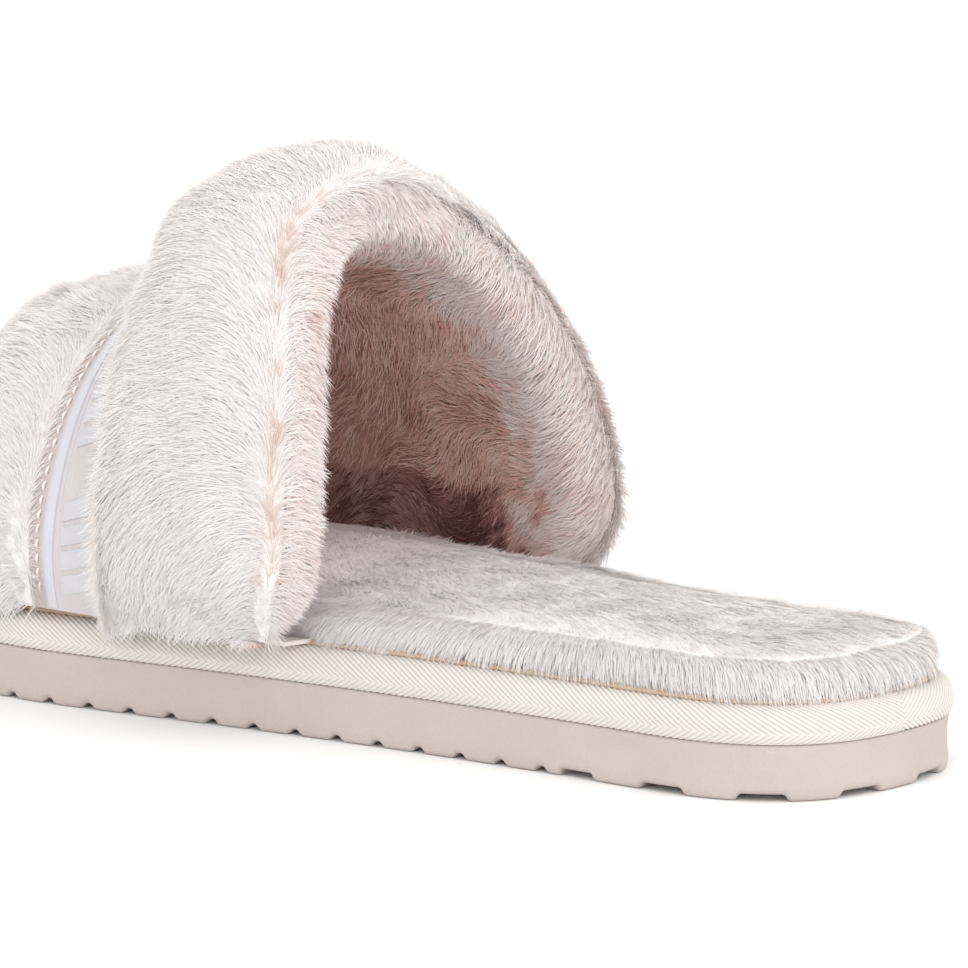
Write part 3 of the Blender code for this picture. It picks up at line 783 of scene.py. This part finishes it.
def make_footbed():
    """Footbed fur: flat on top, upright round the rim, and thin where the upper hides it."""
    surface = footbed_surface()
    skin = surface_piece("footbed_skin", surface, FUR_SKIN, "fur", 1)
    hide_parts("footbed_fur")
    rng = np.random.default_rng(11)
    y = surface.points[..., 1]
    hidden = ease(6.0, -14.0, y) * ease(-108.0, -90.0, y)
    roots, normals, *_ = scatter(surface, density(FOOTBED_DENSITY), rng, 1.0 - 0.8 * hidden)
    outward = unit((roots - [0.0, 62.0, 0.0]) * [1.0, 0.5, 0.0])
    rim = ease(27.8, 25.5, roots[:, 2])[:, None]
    swirl = noise(roots, 30.0, 3)[:, None]
    spread = ease(29.4, 27.0, roots[:, 2] + 0.5 * noise(roots, 9.0, 4))[:, None]
    heel = ease(-45.0, -15.0, roots[:, 1])[:, None]
    to_heel = unit(roots * [1.0, 1.0, 0.0] - [-30.0, -70.0, 0.0])
    brushed = to_heel * heel + [0.1, -1.0, 0.0] * (1.0 - heel)
    flow = brushed * (1 - spread) + [1.0, 0.2, 0.0] * swirl * 0.35
    flow = flow + outward * spread * 1.6 + [0.0, 0.0, -1.4] * rim
    upright = np.clip(1.0 - np.linalg.norm(flow, axis=1), 0.0, 1.0)
    length = FOOTBED_PILE + 0.4 * rim[:, 0]
    lift = 0.2 + 0.4 * rim[:, 0] + 0.5 * upright
    points, shade, number = strands(
        roots, normals, flow, length, lift, rng, 40, 3.8, gather=0.05, twist=0.06, straying=0.02, unruly=0.45
    )
    # Painted light: the base tone 0.76, above the rolls' 0.66, brightens the footbed pile to make up for the
    # shade it lies in
    tone = 0.76 + 0.16 * noise(roots, 12.0, 8) + 0.14 * (number - 0.5) + rng.normal(0.0, 0.08, len(roots))
    fur_pieces("footbed_pile", points, shade, tone, FUR, "fur")


# Upper


def rear_roll_section():
    """Section of the rear roll at the crown: y, half width, crown and reach."""
    back = BACKING_TOP + LAYER_GAP
    return [
        above_space(LINING_REAR, back), above_space(-6.0, back), above_space(BAND_REAR + 2 * GAP, back),
        above_space(BAND_REAR + 2 * GAP, back + BAND_THICK + LAYER_GAP + 2 * GAP),
        (-31.0, 57.0, 97.4, -2.0), (-32.5, 58.8, 103.0, -4.0), (-27.0, 60.6, 110.5, -4.0),
        (-17.0, 61.6, 115.0, -2.0), (-4.0, 61.8, 116.6, 0.0), (9.0, 60.8, 115.6, 0.0),
        (16.0, 58.0, 113.4, 0.0), (18.0, 55.0, 111.0, 0.0),
    ]


def front_roll_section():
    """Section of the front roll at the crown, in the same terms."""
    back = BACKING_TOP + LAYER_GAP
    return [
        above_space(BAND_FRONT - GAP, back), above_space(-75.0, back), above_space(LINING_FRONT, back),
        (-96.5, 54.0, 73.0, 0.0), (-97.0, 55.4, 75.5, 0.0), (-93.0, 57.0, 79.5, 0.0),
        (-84.0, 58.6, 83.2, 0.0), (-72.0, 59.0, 86.0, 0.0), (-62.0, 58.2, 87.4, 0.0),
        (BAND_FRONT - GAP, 56.4, 86.8, 0.0),
    ]


def roll_surface(section, depth, salt):
    """Padded skin of a roll, under its pile: inset from the CAD envelope, with soft lumps."""
    line = round_loop(section, 72, passes=2)
    surface = Surface(sweep(line, arch_angles(120)), wrap_cols=True)
    surface.turn(60, np.argmax(surface.points[60, :, 2]))
    _, crown = lining_arch(line[:, 0])
    outer = ease(0.3, 5.0, line[:, 2] - crown - (BACKING_TOP + LAYER_GAP))
    surface.push(-(0.3 + (depth - 0.3) * outer))
    surface.push(outer * (surface.noise(19.0, salt) * 1.1 + surface.noise(9.0, salt + 1) * 0.45))
    return surface, line, outer


def closed_mesh(surface):
    """A plain closed mesh of a surface, for the simulation to start from."""
    faces = surface.quads()[0].tolist() + surface.ends()
    mesh = new_mesh("cloth_start", surface.flat(), faces)
    bm = bmesh.new()
    bm.from_mesh(mesh)
    bmesh.ops.recalc_face_normals(bm, faces=bm.faces[:])
    bm.to_mesh(mesh)
    bm.free()
    return mesh


def evaluated(obj):
    return obj.evaluated_get(bpy.context.evaluated_depsgraph_get())


def mesh_points(mesh):
    points = np.empty(len(mesh.vertices) * 3)
    mesh.vertices.foreach_get("co", points)
    return points.reshape(-1, 3)


def tree_of(points):
    """Search tree over points."""
    tree = KDTree(len(points))
    for number, spot in enumerate(points):
        tree.insert(spot, number)
    tree.balance()
    return tree


def swell_as_cloth(surface, free):
    """Blows the skin up from inside as cloth, sewn down where free is 0, and takes over how far it moved."""
    shell = add_object("cloth_start", closed_mesh(surface))
    remesh = shell.modifiers.new("even_faces", "REMESH")
    remesh.mode, remesh.voxel_size = "VOXEL", CLOTH_VOXEL
    even = bpy.data.meshes.new_from_object(evaluated(shell))
    bpy.data.objects.remove(shell)
    cloth = add_object("cloth", even)
    start = mesh_points(even)

    grid = tree_of(surface.flat() * MM)
    sewn = cloth.vertex_groups.new(name="sewn")
    for number, spot in enumerate(start):
        if free.ravel()[grid.find(spot)[1]] < 0.2:
            sewn.add([number], 1.0, "REPLACE")

    modifier = cloth.modifiers.new("swell", "CLOTH")
    modifier.settings.use_pressure = True
    modifier.settings.uniform_pressure_force = CLOTH_PRESSURE
    modifier.settings.shrink_min = -CLOTH_SPARE
    modifier.settings.effector_weights.gravity = 0.0
    modifier.settings.vertex_group_mass = "sewn"
    for step in range(1, CLOTH_STEPS + 1):
        SCENE.frame_set(step)
    moved = (mesh_points(evaluated(cloth).data) - start) / MM
    SCENE.frame_set(1)
    bpy.data.objects.remove(cloth)

    size = np.linalg.norm(moved, axis=1, keepdims=True)
    moved = moved * np.minimum(1.0, CLOTH_REACH / np.maximum(size, 1e-6))
    tree = tree_of(start)
    shift = np.zeros_like(surface.flat())
    for number, spot in enumerate(surface.flat() * MM):
        found = tree.find_n(spot, 4)
        weight = np.array([1.0 / (away + 1e-4) for _, _, away in found])
        shift[number] = weight @ moved[[vertex for _, vertex, _ in found]] / weight.sum()
    surface.points = surface.points + shift.reshape(surface.points.shape) * free[..., None]
    surface.measure()


def make_roll(name, section, seam, nodes, depth, salt, thickness, seam_roots_and_shade, plain):
    """One padded roll: its skin, and pile brushed away from the seam along the edge of its opening.

    seam is the section's point on the seam, depth how far the skin lies under the CAD's, thickness the pile's
    density, seam_roots_and_shade how much tan root colour and painted parting shade show along the seam, and
    plain how flat the far side's pile lies."""
    surface, line, outer = roll_surface(section, depth, salt)
    swell_as_cloth(surface, surface.spread(outer))
    skin = surface_piece(f"{name}_skin", surface, FUR_SKIN, "fur", 2)
    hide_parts(*nodes)
    rng = np.random.default_rng(salt)
    cols = len(line)
    seam_col = np.argmin(np.linalg.norm(line[:, :3] - seam, axis=1))
    weight = surface.spread(ease(0.02, 0.3, outer))
    roots, normals, along, section_way, row, col = scatter(surface, density(thickness), rng, weight)
    up = upwards(along, row)
    away = (col * (cols - 1) - seam_col + cols / 2) % cols - cols / 2
    gap = away / cols  # share of the way round the section, signed, from the seam
    far = plain * ease(0.36, 0.5, row)  # past the crown the seam is hidden under smooth, flat pile
    leave = section_way * np.sign(gap)[:, None]
    height = ease(0.0, 0.5, 0.5 - np.abs(row - 0.5))
    climb = np.exp(-np.abs(gap) / 0.07) * 1.05 - 0.28 * ease(0.1, 0.3, np.abs(gap))
    climb = climb * (1.0 - 0.75 * ease(0.55, 1.0, height)) - 0.9 * ease(0.16, 0.02, height)
    swirl = noise(roots, 24.0, salt + 3) * 0.35
    climb = climb * ease(0.0, CREASE, np.abs(row - 0.5))
    parted = ease(0.0, 1.0, np.abs(gap) / (0.02 + 0.05 * far))
    waves = swirl + 0.25 * noise(roots, 6.0, salt + 7) + 0.5 * far * np.exp(-np.abs(gap) / 0.05)
    flow = leave * parted[:, None] + up * climb[:, None] + along * waves[:, None]
    near = np.exp(-((gap / 0.018) ** 2)) * (1.0 - far)
    lift = 0.36 - 0.14 * far
    length = ROLL_PILE + 0.8 * noise(roots, 14.0, salt + 4) - 1.2 * near
    points, shade, number = strands(roots, normals, flow, length, lift, rng, salt, 4.2, gather=0.2)
    # Along the seam the tone drops to tan: partly the roots' own colour, partly painted shade in the parting;
    # near adds more painted shade right at the seam
    spots = np.clip(0.4 + 1.8 * noise(roots, 4.0, salt + 6), 0, 1) * np.exp(-((gap / 0.009) ** 2))
    spots = spots * (1.0 - far) * seam_roots_and_shade
    tone = 0.66 + 0.14 * noise(roots, 8.0, salt + 5) + 0.14 * (number - 0.5)
    tone = tone + rng.normal(0.0, 0.08, len(roots)) - 0.75 * spots - 0.2 * near
    fur_pieces(f"{name}_pile", points, shade, tone, FUR, "fur")


def lining_surface():
    """Skin of the lining: the inside of the upper, with both edges turned out over the backing."""
    turned_out = ((-0.6, 9.4), (-1.6, 8.0), (-2.0, 5.0), (-1.4, 2.0))
    loop = [above_space(LINING_FRONT + ahead, out) for ahead, out in turned_out]
    loop += [above_space(y, 0.0) for y in (LINING_FRONT + 2.0, -60.0, -30.0, -5.0)]
    loop += [above_space(LINING_REAR - 3.0, 0.2)]
    y = LINING_REAR + 1.2
    for ahead, out in ((0.0, 1.6), (1.4, 4.6), (1.8, 7.8), (1.2, 10.2), (-1.5, 10.8)):
        loop.append((y + ahead, SPACE_HALF + out, SPACE_CROWN + SPACE_RISE + out, 0.0))
    fine = round_loop(loop, 72, closed=False)
    points = sweep(fine, arch_angles(110))
    foot = np.clip(1.0 - (points[..., 2] - ARCH_BASE) / 14.0, 0.0, 1.0)
    points[..., 1] -= 8.0 * foot * foot * ease(0.0, 12.0, points[..., 1] + 6.0)
    surface = Surface(points)
    surface.turn(55, 40, up=-1)
    return surface, fine


def make_lining():
    """Inner fur of the upper, short: its own cream along the edges, painted shade that turns it brown inside,
    and a painted dark shadow low down, under the lump.
    """
    surface, fine = lining_surface()
    front = ease(LINING_FRONT + 5.0, LINING_FRONT - 0.5, fine[:, 0])
    inside = ease(12.0, -6.0, fine[:, 0]) * (1.0 - front)
    lump = surface.noise(26.0, 71) * 1.6 + surface.noise(11.0, 72) * 0.6
    surface.push(np.maximum(lump, -0.4) * inside)
    skin = surface_piece("lining_skin", surface, LINING_SKIN, "lining_fur")
    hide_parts("upper_lining")
    # pale is where the skin keeps its own cream; elsewhere it gets painted shade
    pale = np.maximum(ease(-6.0, 10.0, fine[:, 0]), front)
    write_uv(skin, "depth", surface.spread(pale))
    rng = np.random.default_rng(70)
    depth_in = surface.points[..., 1]
    hidden = ease(-20.0, -34.0, depth_in) * ease(-84.0, -74.0, depth_in)
    thinned = 1.0 - 0.75 * hidden
    roots, normals, along, section_way, row, _ = scatter(surface, density(LINING_DENSITY), rng, thinned)
    from_crown = np.abs(row - 0.5)
    swirl = noise(roots, 15.0, 75)[:, None] * 1.6
    down = -upwards(along, row) * ease(0.0, CREASE, from_crown)[:, None]
    rear = ease(4.0, 12.0, roots[:, 1] + LEAN * 0.4 * ease(0.1, 0.5, 0.5 - from_crown))
    flow = along * swirl * (1 - 0.8 * rear[:, None]) + down * 0.35 - section_way * (0.5 + 0.8 * rear)[:, None]
    length = LINING_PILE + 2.0 * rear
    points, shade, number = strands(roots, normals, flow, length, 0.6, rng, 80, 2.6, width=0.16, droop=0.05)
    height = np.clip((roots[:, 2] - ARCH_BASE) / LEAN_HEIGHT, 0.0, 1.0)
    depth = roots[:, 1] + LEAN * height**LEAN_POWER
    depth = depth + 5.0 * noise(roots, 9.0, 79) + 9.0 * noise(roots, 3.0, 84)
    front_edge = ease(LINING_FRONT + 5.0, LINING_FRONT, roots[:, 1])
    # cream is where the pile keeps its own cream; elsewhere its tone drops into painted shade, and the shelf
    # term paints a dark shadow low down, under the lump
    cream = np.maximum(ease(-8.0, 12.0, depth), front_edge)
    shelf_shadow = ease(44.0, 40.0, roots[:, 2] + 1.5 * noise(roots, 8.0, 74)) * (1.0 - cream)
    tone = 0.42 + 0.45 * cream - 0.42 * shelf_shadow + 0.16 * noise(roots, 7.0, 78) + 0.1 * (number - 0.5)
    tone = tone + rng.normal(0.0, 0.10, len(roots))
    fur_pieces("lining_pile", points, shade, tone, LINING_FUR, "lining_fur")


# Elastic band


def band_angles(distances, y):
    """Angles at arc lengths along the band's outer face, and the whole length."""
    angles = np.linspace(0.0, pi, 721)
    half, crown = lining_arch(y)
    run = run_along(arch(y, half + BAND_TOP, crown + BAND_TOP, angles))
    return np.interp(distances, run, angles), run[-1]


def on_band(y, angle, offset):
    """Points over the band's outer face."""
    half, crown = lining_arch(y)
    return arch(y, half + BAND_TOP + offset, crown + BAND_TOP + offset, angle)


def make_band():
    """Elastic webbing: ribbed, with rounded edges."""
    y = np.linspace(BAND_FRONT - 2.2, BAND_REAR, 110)
    edge = np.minimum(y - y[0], y[-1] - y)
    top = -0.75 * (1 - ease(0.0, 0.8, edge)) + 0.05 * np.cos(y * 2 * pi / 0.95)
    ring_y = np.hstack([y, y[::-6]])
    offset = np.hstack([top, np.full(len(y[::-6]), -BAND_THICK)])
    angles = arch_angles(180)[:, None]
    points = on_band(ring_y + 0 * angles, angles, offset)
    surface = Surface(points, wrap_cols=True)
    surface.turn(90, 40)
    piece = surface_piece("elastic_webbing", surface, ELASTIC, "elastic", 2, 60.0)
    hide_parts("elastic_band")
    border = ease(BAND_BORDER + 0.2, BAND_BORDER - 0.2, ring_y)
    write_uv(piece, "border", surface.spread(border))


def film_strip(name, front, rear, height, node=None):
    """A smooth film along the band, with rounded edges."""
    rim, margin, low = 0.18, 0.006, -0.1
    y = np.array([front, front + rim, (front + rear) / 2, rear - rim, rear, rear, front])
    z = np.array([height - 0.12, height, height, height, height - 0.12, low, low])
    angles = np.linspace(margin, pi - margin, 200)[:, None]
    surface = Surface(on_band(y + 0 * angles, angles, z), wrap_cols=True)
    surface.turn(100, 2)
    piece = surface_piece(name, surface, STRIPE_FILM, "print_film", 2, 60.0)
    if node:
        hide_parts(node)


def bar_block(centre, half, start):
    """Points and faces of one raised slanted bar, its top edge softened. Its points count from start."""
    rim, length = 0.25, BARS_REAR - MOTIF_FRONT
    steps = np.linspace(0.0, 1.0, 7)
    rings = []
    for shrink, z in ((0.0, 0.0), (0.0, BAR_HEIGHT - 0.12), (rim, BAR_HEIGHT)):
        y = MOTIF_FRONT + shrink + (length - 2 * shrink) * steps
        middle = centre + BAR_SLANT * (2 * steps - 1)
        one, _ = band_angles(middle - half + shrink, (MOTIF_FRONT + BARS_REAR) / 2)
        two, _ = band_angles(middle + half - shrink, (MOTIF_FRONT + BARS_REAR) / 2)
        rings.append(np.vstack([on_band(y, one, z), on_band(y[::-1], two[::-1], z)]))
    count = len(rings[0])
    top = start + 2 * count
    faces = tube_faces(3, count, start)
    faces += [[top + k, top + k + 1, top + count - 2 - k, top + count - 1 - k] for k in range(6)]
    return np.vstack(rings), faces


def make_motif():
    """Generic pattern on the band: groups of raised slanted bars with plain stretches between them."""
    _, total = band_angles(0.0, (MOTIF_FRONT + MOTIF_REAR) / 2)
    points, faces, start = [], [], 0
    pitch = total / BAR_PAIRS
    for k in range(1, BAR_PAIRS):
        if k % 6 == 3:
            continue
        for side in (-0.25, 0.25):
            bar, bar_faces = bar_block(k * pitch + pitch * side, pitch * BAR_HALF, start)
            points.append(bar)
            faces += bar_faces
            start += len(bar)
    piece = mesh_piece("raised_bars", np.vstack(points), faces, MOTIF_FILM, "print_film", 40.0)
    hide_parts("band_motif")


def make_stitches():
    """Bright thread along the band's front edge: short rounded stitches."""
    _, total = band_angles(0.0, STITCH_LINE)
    rings, sides = 7, 8
    share = np.linspace(0.0, 1.0, rings)
    size = 0.36 * np.sin(np.clip(share, 0.04, 0.96) * pi) ** 0.35
    height = 0.05 + 0.3 * np.sin(share * pi)
    y = STITCH_LINE + 0.18 * (2 * share - 1)
    round_way = np.linspace(0.0, 2 * pi, sides + 1)[:-1]
    points, faces = [], []
    for number, start in enumerate(np.arange(4.0, total - 6.0, STITCH_PITCH)):
        angles, _ = band_angles(start + STITCH_LENGTH * share, STITCH_LINE)
        for k in range(rings):
            around = y[k] + np.cos(round_way) * size[k]
            points.append(on_band(around, np.full(sides, angles[k]), height[k] + np.sin(round_way) * size[k]))
        first = number * rings * sides
        last = first + (rings - 1) * sides
        faces += tube_faces(rings, sides, first)
        faces += [list(range(first + sides - 1, first - 1, -1)), list(range(last, last + sides))]
    piece = mesh_piece("edge_stitches", np.vstack(points), faces, THREAD, "thread", 60.0)
    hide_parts("band_stitches")


# Studio


def hidden_materials():
    """Procedural materials for the CAD nodes that stay: the layers inside the sole and the upper."""
    looks = {"platform_foam": FOAM, "bottom_filler": FOAM, "footbed_foam": FOAM, "insole_board": BOARD,
             "lasting_margin_left": MARGIN, "lasting_margin_right": MARGIN, "vamp_backing": KNIT}
    for node, look in looks.items():
        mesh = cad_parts[node].data
        mesh.materials.clear()
        mesh.materials.append(look)


def look_along(obj, way):
    obj.rotation_euler = Vector(way).to_track_quat("-Z", "Y").to_euler()


def make_studio():
    """White floor and world, with suns as wide as softboxes."""
    reach = FLOOR_REACH
    corners = [(-reach, -reach, 0), (reach, -reach, 0), (reach, reach, 0), (-reach, reach, 0)]
    floor_mesh = bpy.data.meshes.new("floor")
    floor_mesh.from_pydata(corners, [], [(0, 1, 2, 3)])
    look = Look("floor", roughness=0.9, specular=0.0)
    look.join(look.ramp(look.spots(2.0), [(0.0, (0.97,) * 3), (1.0, (0.99,) * 3)]), "Base Color")
    floor_mesh.materials.append(look.material)
    floor = add_object("floor", floor_mesh)

    world = bpy.data.worlds.new("studio")
    world.use_nodes = True
    background = world.node_tree.nodes["Background"].inputs
    background["Color"].default_value = (1.0, 1.0, 1.0, 1.0)
    background["Strength"].default_value = WORLD_LIGHT
    SCENE.world = world
    for name, way, strength, spread in SUNS:
        data = bpy.data.lights.new(name, "SUN")
        data.energy, data.angle = strength, math.radians(spread)
        look_along(add_object(name, data), way)
    SCENE.view_settings.view_transform = "Standard"


def make_camera():
    """Long lens from the heel's outer side, low over the floor."""
    data = bpy.data.cameras.new("camera")
    data.lens, data.sensor_width = LENS, SENSOR
    data.clip_start, data.clip_end = 0.05, 100.0
    camera = add_object("camera", data)
    camera.location = CAMERA_AT
    look_along(camera, Vector(CAMERA_AIM) - Vector(CAMERA_AT))
    SCENE.camera = camera


def main():
    make_camera()
    make_studio()
    hidden_materials()
    make_outsole()
    make_tape()
    make_tape_edge()
    make_footbed()
    rear_nodes = ("rear_roll_cover", "rear_roll_padding")
    front_nodes = ("front_roll_cover", "front_roll_padding")
    make_roll("rear_roll", rear_roll_section(), (16.0, 58.0, 113.4), rear_nodes,
              depth=1.3, salt=21, thickness=7.2, seam_roots_and_shade=1.0, plain=1.0)
    make_roll("front_roll", front_roll_section(), (-58.0, 57.0, 87.2), front_nodes,
              depth=1.5, salt=31, thickness=6.6, seam_roots_and_shade=0.0, plain=0.0)
    make_lining()
    make_band()
    film_strip("band_stripe_film", *STRIPE, 0.32, "band_stripe")
    film_strip("thin_line_film", *THIN_LINE, 0.22)
    make_motif()
    make_stitches()


main()
